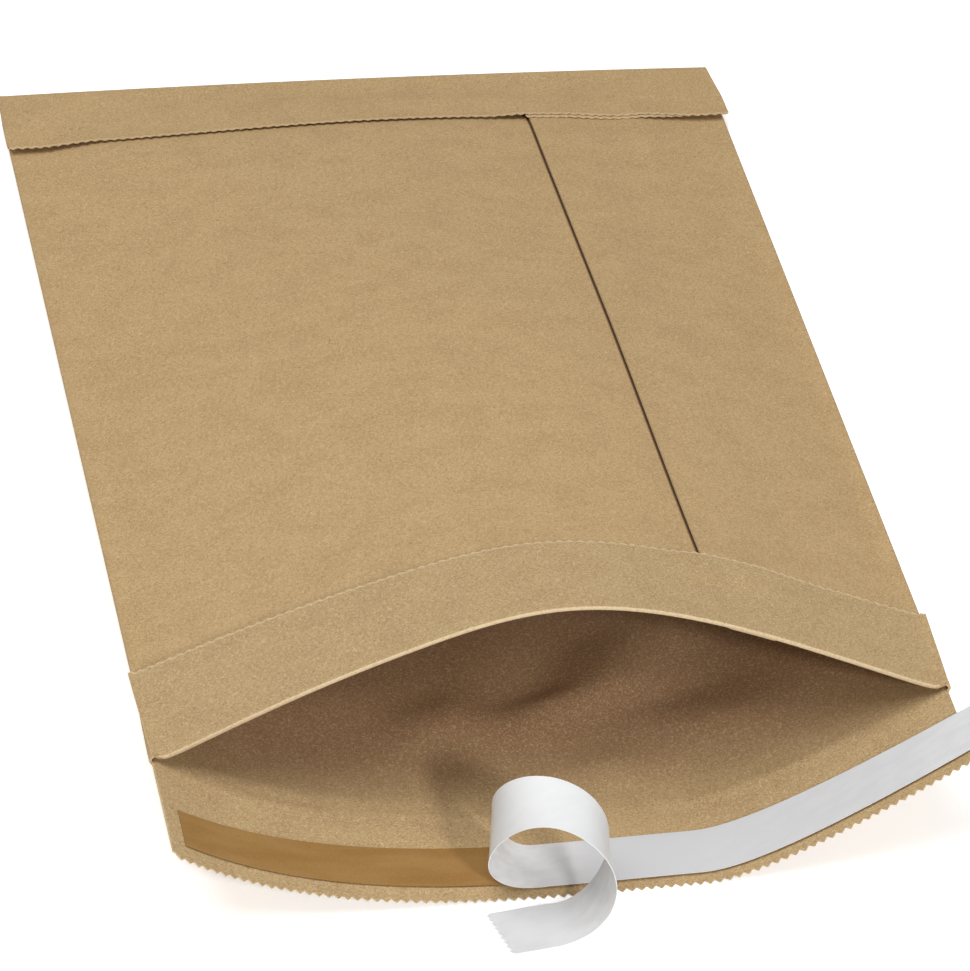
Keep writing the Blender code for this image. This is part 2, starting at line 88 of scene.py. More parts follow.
# Adhesive strip and release liner
ADHESIVE_WIDTH = 16.0
ADHESIVE_INSETS = (5.2, 3.2)
ADHESIVE_START = 3.5
FILM = 0.2  # thickness of the adhesive and of the liner
LAY = 0.1  # air below each
LINER_WIDTH = 17.6
LINER_INSETS = (1.8, 2.7)
LINER_OVERHANG = 12.0
LIFT_SHARE = 0.464
LOOP_WIDTH, LOOP_HEIGHT = 31.1, 33.8
LOOP_DRIFT = (0.0, 3.8, 13.3, 22.4, 25.6)
LOOP_SKEW = (0.0, -11.5, -12.8, -2.4, -24.0)
LOOP_LEAN = (0.0, 35.0, 9.0, 12.5, 0.0)
LOOP_SHIFT = -1.5
TAIL_LENGTH = 13.5
TAIL_HEIGHT = 2.2
TAIL_DROP = 1.0
TAIL_CUT = 10.6
LINER_TEETH = 9
LINER_TOOTH_DEPTH = 1.3

SIDE_TURN = 2 * PRESSED + PLY_GAP
SIDE_ROOM = 1.2
SIDE_REACH = SIDE_TURN / 2 * SIDE_ROOM
SKIN_WIDTH = WIDTH - 2 * SIDE_REACH
SEAM = SEAM_TEETH / TEETH
SEAM_SHADE_ENDS = (min(CUFF) - SEAM_SHADE_HIDDEN, BODY_LENGTH - HEM + SEAM_SHADE_HIDDEN)
LAP = LAP_TEETH / TEETH
TURN_STEPS = 8
STEPS = 2 * TEETH
LEFT_STEPS = 2 * SEAM_TEETH
FULL_THICKNESS = 12.0  # what a weight of 1 stands for in the envelope's mesh
SHARP_ANGLE = 38.0  # degrees; flatter edges are shaded smooth

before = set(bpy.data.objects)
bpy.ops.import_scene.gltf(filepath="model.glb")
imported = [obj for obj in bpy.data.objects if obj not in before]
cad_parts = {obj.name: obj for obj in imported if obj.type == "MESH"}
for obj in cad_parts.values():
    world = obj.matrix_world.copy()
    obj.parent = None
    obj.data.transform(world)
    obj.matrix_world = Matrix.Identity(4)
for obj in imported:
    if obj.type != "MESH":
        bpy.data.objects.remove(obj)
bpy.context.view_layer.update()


def smooth(x):
    x = np.clip(x, 0, 1)
    return x * x * (3 - 2 * x)


def bump(x, y, centre, reach, turn=0.0):
    """A soft mound of height 1; reach is its two radii, turn the angle of the first in degrees."""
    a = math.radians(turn)
    dx, dy = x - centre[0], y - centre[1]
    u = (dx * math.cos(a) + dy * math.sin(a)) / reach[0]
    v = (dy * math.cos(a) - dx * math.sin(a)) / reach[1]
    return np.exp(-(u**2 + v**2))


def spline(heights, x):
    """A natural cubic through evenly spaced heights, read at x from 0 to 1."""
    h = np.array(heights, float)
    n = len(h) - 1
    rows = np.eye(n + 1)
    right = np.zeros(n + 1)
    for i in range(1, n):
        rows[i, i - 1 : i + 2] = (1, 4, 1)
        right[i] = 6 * (h[i - 1] - 2 * h[i] + h[i + 1])
    bend = np.linalg.solve(rows, right)
    i = np.clip((np.asarray(x) * n).astype(int), 0, n - 1)
    t = x * n - i
    ends = h[i] * (1 - t) + h[i + 1] * t
    return ends + ((1 - t) ** 3 - (1 - t)) * bend[i] / 6 + (t**3 - t) * bend[i + 1] / 6


def front_height(s):
    left = BACK_HEIGHTS[0] * np.clip((FLAT_FROM - s) / FLAT_FROM, 0, None) ** LEFT_CURL
    run = np.clip((s - FLAT_TO) / (1 - FLAT_TO), 0, None)
    return left + BACK_HEIGHTS[-1] * run**2 * (1 + RIGHT_KNEE) / (run + RIGHT_KNEE)


def back_height(s):
    return spline(BACK_HEIGHTS, s)


def across(height):
    """Places across the open mouth, as (shares, x), for a panel that keeps its flat width."""
    steps = 240
    shares = np.linspace(0, 1, steps + 1)
    z = height(shares)
    run = SKIN_WIDTH / steps
    x = np.concatenate([[0], np.cumsum(np.sqrt(np.maximum(run**2 - np.diff(z) ** 2, 0)))])
    return shares, x - x[-1] / 2


BACK_SHARES, BACK_X = across(back_height)
FRONT_SHARES, FRONT_X = across(front_height)
MOUTH_HALF = (BACK_X[-1] + FRONT_X[-1]) / 2
BACK_X = BACK_X * MOUTH_HALF / BACK_X[-1]
FRONT_X = FRONT_X * MOUTH_HALF / FRONT_X[-1]


def ruled(s, q, shares, xs, height):
    """Points on straight lines from the mouth fold to the far fold, or beyond the mouth."""
    s, q = np.broadcast_arrays(np.asarray(s, float), np.asarray(q, float))
    inside = np.clip(s, 0, 1)
    near = inside - np.where(s > inside, 1, -1) * 0.02
    past = np.where(s == inside, 0, (s - inside) / (inside - near))
    near = np.clip(near, 0, 1)
    x = np.interp(inside, shares, xs)
    z = height(inside)
    x = x + (x - np.interp(near, shares, xs)) * past
    z = z + (z - height(near)) * past
    far_x = (s - 0.5) * SKIN_WIDTH
    y = -np.sqrt(np.maximum(BODY_LENGTH**2 - (x - far_x) ** 2 - z**2, 0))
    v = q / BODY_LENGTH
    return np.stack([x * (1 - v) + far_x * v, y * (1 - v), z * (1 - v)], axis=-1)


def front(s, q):
    return ruled(s, q, FRONT_SHARES, FRONT_X, front_height)


def padding(s, q):
    """0 where the web is pressed flat along its edges, 1 where it is fully padded."""
    side = np.minimum(s, 1 - s) * WIDTH
    swell = 1
    for inward, margin, slope in zip((side, q, BODY_LENGTH - q), PAD_MARGINS, PAD_SLOPES):
        swell = swell * smooth((inward - margin) / slope)
    return swell


def seam_padding(s, q):
    """The back panel's padding, which also stops short of the lap seam."""
    clear = np.maximum(SEAM - s, s - SEAM - LAP - 1 / 40)
    return padding(s, q) * smooth(clear * WIDTH / SEAM_SLOPE)


def front_thickness(s, q):
    return PRESSED + (PADDED - PRESSED) * padding(s, q)


def back_thickness(s, q):
    return PRESSED + (PADDED - PRESSED) * seam_padding(s, q)


def lap_lift(s, q):
    """How far the upper side of the lap seam stands above the back panel."""
    near = min(CUFF) - SEAM_HIDDEN - SEAM_CLOSE
    far = BODY_LENGTH - HEM + SEAM_HIDDEN + SEAM_CLOSE
    along = np.minimum(q - near, far - q) / SEAM_CLOSE
    past = 1 - (s - SEAM - LAP) / (LAP_FADE - SEAM - LAP)
    return (PRESSED + PLY_GAP) * np.clip(along, 0, 1) * np.clip(past, 0, 1)


def back_swell(s, q):
    """Extra height of the back panel over its padding, between the cuff and the hem."""
    near = smooth((q - SWELL_START) / SWELL_SLOPES[0])
    return BACK_SWELL * 4 * s * (1 - s) * near * smooth((BODY_LENGTH - q) / SWELL_SLOPES[1])


def flat_back(s, q):
    """The back panel's outer skin without its lap."""
    point = ruled(s, q, BACK_SHARES, BACK_X, back_height)
    floor = front(s, q)[..., 2]
    least = back_thickness(s, q) + front_thickness(s, q)
    least = least + PLY_GAP + (PAD_GAP - PLY_GAP) * padding(s, q)
    least = least + (MOUTH_GAP - PLY_GAP) * smooth(1 - q / MOUTH_EASE)
    opening = np.maximum(point[..., 2] - floor, 0)
    point[..., 2] = floor + (opening**3 + least**3) ** (1 / 3) + back_swell(s, q)
    return point


def back_normal(s, q):
    low_s, high_s = np.clip(s - 0.004, 0, 1), np.clip(s + 0.004, 0, 1)
    low_q, high_q = np.clip(q - 1.0, 0, BODY_LENGTH), np.clip(q + 1.0, 0, BODY_LENGTH)
    normal = np.cross(
        flat_back(high_s, q) - flat_back(low_s, q), flat_back(s, high_q) - flat_back(s, low_q)
    )
    return normal / np.linalg.norm(normal, axis=-1, keepdims=True)


def front_normal(s, q):
    """Points into the envelope, or up from the lip."""
    normal = np.cross(front(s + 0.004, q) - front(s - 0.004, q), front(s, q + 1) - front(s, q - 1))
    return normal / np.linalg.norm(normal, axis=-1, keepdims=True)


def raised(point, normal, rise):
    return point + normal * np.asarray(rise)[..., None]


def back(s, q, lifted=False):
    s, q = np.broadcast_arrays(np.asarray(s, float), np.asarray(q, float))
    point = flat_back(s, q)
    if lifted:
        point = raised(point, back_normal(s, q), lap_lift(s, q))
    return point


def between(ends, s):
    return ends[0] + (ends[1] - ends[0]) * s


def lap_ramp(s, q):
    return lap_lift(np.maximum(s, SEAM), q) * smooth((s - SEAM + 0.06) / 0.06)


def cuff(s, q):
    """The cuff's skin, which faces down onto the back panel."""
    s, q = np.broadcast_arrays(np.asarray(s, float), np.asarray(q, float))
    share = np.clip(q / between(CUFF, s), 0, 1)
    point = raised(back(s, q), back_normal(s, q), FOLD_AIR + CUFF_LIFT * share**2 + lap_ramp(s, q))
    point[..., 0] += between((-CUFF_FLARE[0], CUFF_FLARE[1]), s) * share
    point[..., 0] += SIDE_REACH * (2 * s - 1)
    return point


def cuff_turn(s, angle):
    """Points round the mouth fold, from the back panel at -90 degrees to the cuff at 90."""
    start = back(s, 0.0)
    out = start - back(s, 2.0)
    out = out / np.linalg.norm(out, axis=-1, keepdims=True)
    radius = FOLD_AIR / 2
    point = start + back_normal(s, np.zeros_like(s)) * radius * (1 + math.sin(angle))
    point = point + out * radius * math.cos(angle)
    point[..., 0] += SIDE_REACH * (2 * s - 1) * smooth((angle + math.pi / 2) / math.pi)
    return point


def hem_edge(s):
    """How far the hem's pinked edge lies from the far fold."""
    return HEM + HEM_SKEW * (1 - 2 * s)


def hem(s, p, top):
    """Points on the hem's skin, p from the far fold; top is the ply that faces up."""
    s, p = np.broadcast_arrays(np.asarray(s, float), np.asarray(p, float))
    q = BODY_LENGTH - p
    share = np.clip(p / HEM, 0, 1)
    corner = smooth(1 - np.minimum(s, 1 - s) / HEM_CORNER_SHARE)
    press = smooth(share * 2 - 1)
    rise = FOLD_GAP * (1 - 0.6 * press) + lap_ramp(s, q) + HEM_CORNER_LIFT * corner * share**2
    if top:
        rise = rise + SIDE_TURN * (1 - 0.5 * press)
        rise = rise + HEM_SWELL * 4 * s * (1 - s) * (1 - 0.9 * press)
    point = raised(back(s, q), back_normal(s, q), rise)
    point[..., 0] += between((-HEM_FLARE[0], HEM_FLARE[1]), s) * share
    return point


def far_turn(s, angle, outer):
    """Points round the far fold, from the bottom at -90 degrees to the top at 90."""
    if outer:
        low, high = front(s, BODY_LENGTH), hem(s, 0, True)
    else:
        low, high = back(s, BODY_LENGTH), hem(s, 0, False)
    radius = (high[..., 2] - low[..., 2]) / 2
    point = (low + high) / 2
    point[..., 1] += radius * math.cos(angle)
    point[..., 2] += radius * math.sin(angle)
    return point


def side_turn(first, last, outward):
    """The points between two skins round a side fold."""
    centre = (first + last) / 2
    arm = first - centre
    radius = np.linalg.norm(arm)
    angles = np.pi * np.arange(1, TURN_STEPS) / TURN_STEPS
    reach = np.outer(outward * radius * np.sin(angles), (1, 0, 0))
    return centre + (np.outer(np.cos(angles), arm) + reach) * SIDE_ROOM


class Sheet:
    """An open surface under construction, with its thickness at each vertex."""

    def __init__(self):
        self.points = []
        self.thickness = []
        self.painted_light = []
        self.show_through_and_shade = []
        self.faces = []
        self.count = 0

    def row(self, points, thickness, painted_light=0.0, show_through_and_shade=0.0):
        """The first mask paints highlight at 1, on the fold and teeth, and seam shade at -1.

        The second mask is 1 well inside the mouth, where it paints shade.
        """
        points = np.atleast_2d(points)
        self.points.append(points)
        self.thickness.append(np.broadcast_to(thickness, (len(points),)))
        self.painted_light.append(np.broadcast_to(painted_light, (len(points),)))
        self.show_through_and_shade.append(np.broadcast_to(show_through_and_shade, (len(points),)))
        self.count += len(points)
        return np.arange(self.count - len(points), self.count)

    def strip(self, lower, upper):
        n = min(len(lower), len(upper))
        quads = np.stack([lower[: n - 1], lower[1:n], upper[1:n], upper[: n - 1]], axis=1)
        self.faces.extend(quads.tolist())

    def pinked(self, row, shares, point_at, thickness, toothed_first, teeth, tooth, painted_light=1.0):
        """Faces from a row to an edge of rounded teeth, at point_at(shares, depths)."""
        fine = 4
        phases = np.arange((len(row) - 1) * fine + 1) / fine
        fine_shares = np.interp(phases, np.arange(len(row)), shares)
        saw = 1 - np.abs((2 * teeth * fine_shares) % 2 - 1)
        wave = 0.7 * saw + 0.3 * smooth(saw)
        # The teeth carry the given share of painted highlight.
        edge = self.row(point_at(fine_shares, wave * tooth), thickness, painted_light)
        for i in range(len(row) - 1):
            ring = [int(row[i]), int(row[i + 1])]
            ring += edge[i * fine : (i + 1) * fine + 1][::-1].tolist()
            self.faces.append(ring[::-1] if toothed_first else ring)

    def solid(self, name, materials, full):
        """The finished object: the surface with its thickness grown behind it."""
        mesh = bpy.data.meshes.new(name)
        points = (np.concatenate(self.points) + ORIGIN) * MM
        mesh.from_pydata(points.tolist(), [], self.faces)
        mesh.update()
        for mask, values in (("painted_light", self.painted_light), ("show_through_and_shade", self.show_through_and_shade)):
            found = mesh.attributes.new(mask, "FLOAT", "POINT")
            found.data.foreach_set("value", np.concatenate(values).astype(np.float32))
        made = bpy.data.objects.new(name, mesh)
        bpy.context.scene.collection.objects.link(made)
        group = made.vertex_groups.new(name="thickness")
        for index, value in enumerate(np.concatenate(self.thickness)):
            group.add([index], min(value / full, 1), "REPLACE")
        for item in materials:
            mesh.materials.append(item)
        wall = made.modifiers.new("wall", "SOLIDIFY")
        wall.thickness = full * MM
        wall.offset = -1
        wall.use_even_offset = False
        wall.use_quality_normals = True
        wall.vertex_group = group.name
        wall.material_offset = min(1, len(materials) - 1)
        wall.material_offset_rim = len(materials) - 1
        mesh.shade_smooth()
        bpy.context.view_layer.update()
        graph = bpy.context.evaluated_depsgraph_get()
        finished = bpy.data.meshes.new_from_object(made.evaluated_get(graph))
        made.modifiers.clear()
        made.data = finished
        finished.set_sharp_from_angle(angle=math.radians(SHARP_ANGLE))
        return made


# Materials


class Nodes:
    """Short ways to add and link nodes in one material."""

    def __init__(self, name):
        self.material = bpy.data.materials.new(name)
        self.material.use_nodes = True
        self.tree = self.material.node_tree
        self.shader = self.tree.nodes["Principled BSDF"]
        self.place = self.add("ShaderNodeTexCoord").outputs["Object"]

    def add(self, kind, **values):
        node = self.tree.nodes.new(kind)
        for key, value in values.items():
            setattr(node, key, value)
        return node

    def link(self, source, target):
        self.tree.links.new(source, target)

    def noise(self, stretch, turn=0.0, detail=2.0, roughness=0.5):
        """Noise whose features are about stretch millimetres, turned in the plane of the web."""
        mapping = self.add("ShaderNodeMapping", vector_type="TEXTURE")
        mapping.inputs["Scale"].default_value = [size * MM for size in stretch]
        mapping.inputs["Rotation"].default_value = (0, 0, math.radians(turn))
        self.link(self.place, mapping.inputs["Vector"])
        texture = self.add("ShaderNodeTexNoise")
        texture.inputs["Scale"].default_value = 1.0
        texture.inputs["Detail"].default_value = detail
        texture.inputs["Roughness"].default_value = roughness
        self.link(mapping.outputs["Vector"], texture.inputs["Vector"])
        return texture.outputs["Fac"]

    def step(self, value, low, high, start=0.0, end=1.0):
        """Map a value from low..high to start..end, held at both ends."""
        node = self.add("ShaderNodeMapRange", clamp=True, interpolation_type="SMOOTHSTEP")
        keys = ("From Min", "From Max", "To Min", "To Max")
        for key, number in zip(keys, (low, high, start, end)):
            node.inputs[key].default_value = number
        self.link(value, node.inputs["Value"])
        return node.outputs["Result"]

    def math(self, operation, first, second):
        node = self.add("ShaderNodeMath", operation=operation)
        for slot, value in zip(node.inputs, (first, second)):
            if isinstance(value, (int, float)):
                slot.default_value = value
            else:
                self.link(value, slot)
        return node.outputs["Value"]

    def mix(self, share, first, second):
        node = self.add("ShaderNodeMix", data_type="RGBA")
        factor, a, b = node.inputs["Factor"], node.inputs[6], node.inputs[7]
        if isinstance(share, (int, float)):
            factor.default_value = share
        else:
            self.link(share, factor)
        for slot, value in ((a, first), (b, second)):
            if isinstance(value, tuple):
                slot.default_value = value
            else:
                self.link(value, slot)
        return node.outputs[2]

    def finish(self, colour, height, roughness, depth):
        self.link(colour, self.shader.inputs["Base Color"])
        self.shader.inputs["Roughness"].default_value = roughness
        self.shader.inputs["Specular IOR Level"].default_value = 0.3
        relief = self.add("ShaderNodeBump")
        relief.inputs["Strength"].default_value = 0.5
        relief.inputs["Distance"].default_value = depth * MM
        self.link(height, relief.inputs["Height"])
        self.link(relief.outputs["Normal"], self.shader.inputs["Normal"])
        return self.material


def linear(r, g, b):
    """A colour written as 0 to 255 in sRGB, as the linear RGBA that a socket takes."""
    out = []
    for value in (r, g, b):
        v = value / 255
        out.append(v / 12.92 if v <= 0.04045 else ((v + 0.055) / 1.055) ** 2.4)
    return (*out, 1.0)


def kraft(name, base, light, dark, contrast=1.0, painted_light=None, show_through_and_shade=None):
    """Kraft paper: faintly cloudy pulp with short light and dark fibres at all angles."""
    nodes = Nodes(name)
    # Painted shade deep inside the mouth: a darker, redder colour where the second mask is high.
    if show_through_and_shade:
        inside = nodes.add("ShaderNodeAttribute", attribute_name="show_through_and_shade").outputs["Fac"]
        base = nodes.mix(inside, base, show_through_and_shade)
    cloud = nodes.noise((14, 11, 12), 0, 3, 0.55)
    colour = nodes.mix(nodes.step(cloud, 0.35, 0.7, 0.0, 0.16 * contrast), base, dark)
    pulp = nodes.noise((0.8, 0.6, 0.8), 25, 2, 0.6)
    colour = nodes.mix(nodes.step(pulp, 0.48, 0.75, 0.0, 0.5 * contrast), colour, light)
    pits = nodes.noise((0.7, 0.7, 0.7), 70, 2, 0.6)
    colour = nodes.mix(nodes.step(pits, 0.52, 0.75, 0.0, 0.5 * contrast), colour, dark)
    height = pulp
    for turn in (12, 57, 104, 151):
        pale = nodes.noise((1.3, 0.26, 0.8), turn, 1, 0.5)
        colour = nodes.mix(nodes.step(pale, 0.62, 0.76, 0.0, 0.6 * contrast), colour, light)
        deep = nodes.noise((1.0, 0.24, 0.8), turn + 23, 1, 0.5)
        colour = nodes.mix(nodes.step(deep, 0.62, 0.76, 0.0, 0.6 * contrast), colour, dark)
        height = nodes.math("ADD", height, pale)
    # Painted highlight: a pale colour where the first mask is positive, on the mouth fold and the
    # teeth.
    if painted_light:
        mask = nodes.add("ShaderNodeAttribute", attribute_name="painted_light").outputs["Fac"]
        highlight_share = nodes.step(mask, 0.3, 1.0)
        uneven = nodes.step(pulp, 0.3, 0.6, 0.6, 1.0)
        colour = nodes.mix(nodes.math("MULTIPLY", highlight_share, uneven), colour, painted_light)
        # Painted shade: a dark line where the first mask is negative, along the lap seam's edge.
        colour = nodes.mix(nodes.step(mask, -0.2, -0.75), colour, linear(72, 48, 28))
    return nodes.finish(colour, height, 0.82, 0.04)


def adhesive_material():
    """A golden film, through which the paper's grain shows."""
    nodes = Nodes("adhesive")
    streak = nodes.noise((30, 6, 10), 4, 2, 0.5)
    colour = nodes.mix(nodes.step(streak, 0.3, 0.7), linear(160, 124, 74), linear(150, 112, 62))
    grain = nodes.noise((0.8, 0.6, 0.8), 20, 2, 0.6)
    colour = nodes.mix(nodes.step(grain, 0.5, 0.78, 0.0, 0.35), colour, linear(178, 142, 90))
    pits = nodes.noise((1.0, 0.3, 0.8), 50, 2, 0.6)
    colour = nodes.mix(nodes.step(pits, 0.55, 0.78, 0.0, 0.5), colour, linear(118, 84, 44))
    return nodes.finish(colour, grain, 0.5, 0.03)


def liner_material(name, base, light):
    """Satin paper, greyer on the lip where the lip shows through, plus painted shade near the
    loop.
    """
    nodes = Nodes(name)
    # Greyer with the lip showing through, and with painted shade next to the loop and on the tail.
    laid_and_shade = nodes.add("ShaderNodeAttribute", attribute_name="show_through_and_shade").outputs["Fac"]
    colour = nodes.mix(laid_and_shade, light, base)
    cloud = nodes.noise((8, 3, 6), 15, 3, 0.5)
    colour = nodes.mix(nodes.step(cloud, 0.3, 0.75, 0.0, 0.5), colour, base)
    grain = nodes.noise((0.8, 0.8, 0.8), 0, 2, 0.5)
    return nodes.finish(colour, grain, 0.34, 0.02)


# Pieces


def folds(s, q):
    """Soft folds of the inner paper inside the mouth, as extra thickness of the front panel.

    One long fold runs inward from near the mouth's middle, and the rest are low mounds. Places are
    in millimetres from the left fold and from the mouth fold.
    """
    s, q = np.broadcast_arrays(np.asarray(s, float), np.asarray(q, float))
    x = s * WIDTH
    edge = np.interp(q, (30, 36, 46, 68, 90, 120), (112, 121, 142, 158, 161, 159))
    d = x - edge
    flank = np.interp(q, (30, 50, 80), (20, 24, 30))
    ridge = smooth((d + flank) / (flank + 3)) * np.exp(-(np.maximum(d - 4, 0) / 20) ** 2)
    rise = 5.5 * ridge * smooth((q - 18) / 32) * smooth((150 - q) / 50)
    rise = rise + 2.5 * bump(x, q, (112, 62), (16, 26), -30)
    rise = rise + 3.0 * bump(x, q, (92, 34), (17, 9), 20)
    rise = rise + 2.2 * bump(x, q, (60, 46), (26, 12), 12)
    rise = rise + 2.0 * bump(x, q, (176, 28), (22, 9), -12)
    rise = rise + 1.2 * bump(x, q, (140, 14), (20, 7), 8)
    rise = rise + 0.9 * bump(x, q, (44, 2.0), (40, 2.4), -2)
    rise = rise + 0.6 * bump(x, q, (36, -4.0), (30, 1.6), -3)
    rise = rise + 0.7 * bump(x, q, (88, -4.5), (26, 1.8), -3)
    rise = rise + 0.6 * bump(x, q, (186, -2.0), (36, 1.8), 2)
    side = np.minimum(s, 1 - s) * WIDTH
    return rise * smooth((side - 1) / 14)


def body_rows():
    hem_edge = BODY_LENGTH - HEM
    return np.concatenate(
        [
            np.linspace(0, 44, 16),
            np.linspace(44, 130, 25)[1:],
            np.linspace(130, hem_edge - 4, 26)[1:],
            np.linspace(hem_edge - 4, BODY_LENGTH, 12)[1:],
        ]
    )


def seam_share(q):
    """The seam's own line, which runs slightly askew between the hem and the cuff."""
    return SEAM + (SEAM_SHIFT + SEAM_SKEW * (2 * q / BODY_LENGTH - 1)) / WIDTH


def split(q):
    """Shares of the columns left and right of the seam in the row at q."""
    seam = seam_share(q)
    left = np.linspace(0, seam, LEFT_STEPS + 1)
    right = np.linspace(seam, 1, STEPS - LEFT_STEPS + 1)
    return left, right


def make_envelope():
    sheet = Sheet()
    front_shares = np.linspace(1, 0, STEPS + 1)
    tube = []
    flaps = []
    mouth = {}
    rows = body_rows()
    for q in rows:
        left, right = split(q)
        left_points, right_points = back(left, q), back(right, q, True)
        front_points = front(front_shares, q)
        press = np.interp(q, (0, 6), (PRESSED - FOLD_PLY, 0))
        # Painted shade: a dark line on the left ply's edge at the seam and on the flap beneath it.
        seam_shade = -1.0 * (left > left[-1] - 1e-6) * (SEAM_SHADE_ENDS[0] < q < SEAM_SHADE_ENDS[1])
        left_row = sheet.row(left_points, back_thickness(left, q) - press, seam_shade)
        right_row = sheet.row(right_points, back_thickness(right, q) - press)
        panel = front_thickness(front_shares, q) + folds(front_shares, q)
        # Painted shade on the front panel's inside, deepening from the mouth fold inward.
        front_row = sheet.row(front_points, panel, 0.0, smooth((q + 6) / 40))
        right_turn = sheet.row(side_turn(right_points[-1], front_points[0], 1), PRESSED)
        left_turn = sheet.row(side_turn(front_points[-1], left_points[0], -1), PRESSED)
        tube.append(np.concatenate([right_row, right_turn, front_row, left_turn, left_row]))
        under = back(np.linspace(left[-1], left[-1] + LAP, 11)[1:], q)
        under = sheet.row(under, PRESSED, seam_shade[-1])
        flaps.append(np.concatenate([left_row[-1:], under]))
        if q == 0:
            mouth["back"] = np.concatenate([left_row[:-1], right_row])
            mouth["back_shares"] = np.concatenate([left[:-1], right])
            mouth["front"] = np.concatenate([right_turn[-2:], front_row, left_turn[:2]])
    shares = mouth["back_shares"]
    left, right = split(BODY_LENGTH)
    last_shares = np.concatenate([left, right])
    for step in range(1, TURN_STEPS):
        angle = math.pi * (step / TURN_STEPS - 0.5)
        low = far_turn(last_shares, angle, False)
        top = far_turn(front_shares, angle, True)
        tube.append(hem_row(sheet, low, top, len(left)))
    for part in np.linspace(0, 1, 14):
        low = hem(last_shares, part * (hem_edge(last_shares) - EDGE_ROW), False)
        top = hem(front_shares, part * (hem_edge(front_shares) - EDGE_ROW), True)
        ply = PRESSED - (PRESSED - EDGE_PLY) * smooth(2 * part - 1)
        tube.append(hem_row(sheet, low, top, len(left), ply))
    for lower, upper in zip(tube, tube[1:]):
        sheet.strip(lower, upper)
    for lower, upper in zip(flaps, flaps[1:]):
        sheet.strip(lower, upper)
    pink_hem(sheet, tube[-1], left, right, front_shares)
    make_cuff(sheet, mouth["back"], shares)
    make_lip(sheet, mouth["front"], front_shares)
    materials = [
        kraft(
            "kraft_outside",
            linear(188, 158, 113),
            linear(213, 185, 142),
            linear(144, 113, 74),
            1.25,
            # the pale colour of the painted highlight
            linear(214, 190, 150),
        ),
        kraft(
            "kraft_inside",
            linear(183, 156, 112),
            linear(213, 187, 147),
            linear(142, 110, 76),
            1.35,
            # the pale colour of the painted highlight
            linear(216, 193, 156),
            # the darker, redder colour of the painted shade inside the mouth
            linear(166, 128, 95),
        ),
        kraft("kraft_cut", linear(208, 181, 140), linear(228, 205, 168), linear(170, 140, 100)),
    ]
    return sheet.solid("envelope_paper", materials, FULL_THICKNESS)


def hem_row(sheet, low, top, left_count, ply=PRESSED):
    """One closed row of the tube where it is turned over, in the order of the body's rows."""
    low_row = sheet.row(low, ply)
    top_row = sheet.row(top, ply)
    right_turn = sheet.row(side_turn(low[-1], top[0], 1), ply)
    left_turn = sheet.row(side_turn(top[-1], low[0], -1), ply)
    left_part, right_part = low_row[:left_count], low_row[left_count:]
    return np.concatenate([right_part, right_turn, top_row, left_turn, left_part])


def pink_hem(sheet, row, left, right, front_shares):
    """The pinked free edges of the hem's two plies."""

    def low_edge(s, depth):
        shown = (s >= SEAM) * smooth((1 - s) / 0.12)
        past = UNDER_PLY_LEFT + (UNDER_PLY_RIGHT - UNDER_PLY_LEFT) * shown
        return hem(s, hem_edge(s) + past + depth - FINE_TOOTH_DEPTH / 2, False)

    def top_edge(s, depth):
        return hem(s, hem_edge(s) + depth - FINE_TOOTH_DEPTH / 2, True)

    turn = TURN_STEPS - 1
    start = len(right) + turn
    end = start + STEPS + 1
    sheet.pinked(row[: len(right)], right, low_edge, EDGE_PLY, False, TEETH, FINE_TOOTH_DEPTH)
    sheet.pinked(row[start:end], front_shares, top_edge, EDGE_PLY, False, TEETH, FINE_TOOTH_DEPTH)
    sheet.pinked(row[end + turn :], left, low_edge, EDGE_PLY, False, TEETH, FINE_TOOTH_DEPTH)


def make_cuff(sheet, mouth, shares):
    """The back panel's end, turned outward over the mouth fold and laid on the back."""
    last = mouth
    for step in range(1, TURN_STEPS):
        angle = math.pi * (step / TURN_STEPS - 0.5)
        # A pale highlight is painted round the mouth fold.
        row = sheet.row(cuff_turn(shares, angle), FOLD_PLY, float(abs(angle) < 1.3))
        sheet.strip(row, last)
        last = row
    for part in np.concatenate([[0, 0.02], np.linspace(0.06, 1, 15)]):
        row = sheet.row(cuff(shares, part * (between(CUFF, shares) - EDGE_ROW)), FOLD_PLY)
        sheet.strip(row, last)
        last = row

    def edge(s, depth):
        return cuff(s, between(CUFF, s) + depth - FINE_TOOTH_DEPTH / 2)

    sheet.pinked(last, shares, edge, FOLD_PLY, True, TEETH, FINE_TOOTH_DEPTH)


def make_lip(sheet, mouth, shares):
    """The front panel's end, which runs on past the mouth."""
    reach = SIDE_REACH / SKIN_WIDTH
    wide = np.concatenate([[1 + reach, 1 + reach / 2], shares, [-reach / 2, -reach]])
    last = mouth
    for part in np.linspace(0, 1, 25)[1:]:
        q = -part * (between(LIP, wide) - EDGE_ROW)
        ply = PRESSED - (PRESSED - EDGE_PLY) * smooth(part * 4 - 3)
        row = sheet.row(front(wide, q), ply + folds(wide, q))
        sheet.strip(row, last)
        last = row

    def edge(s, depth):
        return front(s, -(between(LIP, s) + depth - LIP_TOOTH_DEPTH / 2))

    sheet.pinked(last[2:-2], shares, edge, EDGE_PLY, True, LIP_TEETH, LIP_TOOTH_DEPTH, 0.0)


def on_lip(s, w, width, insets, height):
    """Points on a strip along the lip, w from 0 at its inner edge to 1 at its outer one."""
    outer = between(LIP, s) - TOOTH_DEPTH / 2 - between(insets, s)
    q = (1 - w) * width - outer
    return raised(front(s, q), front_normal(s, q), PRESSED + height + 0 * q)


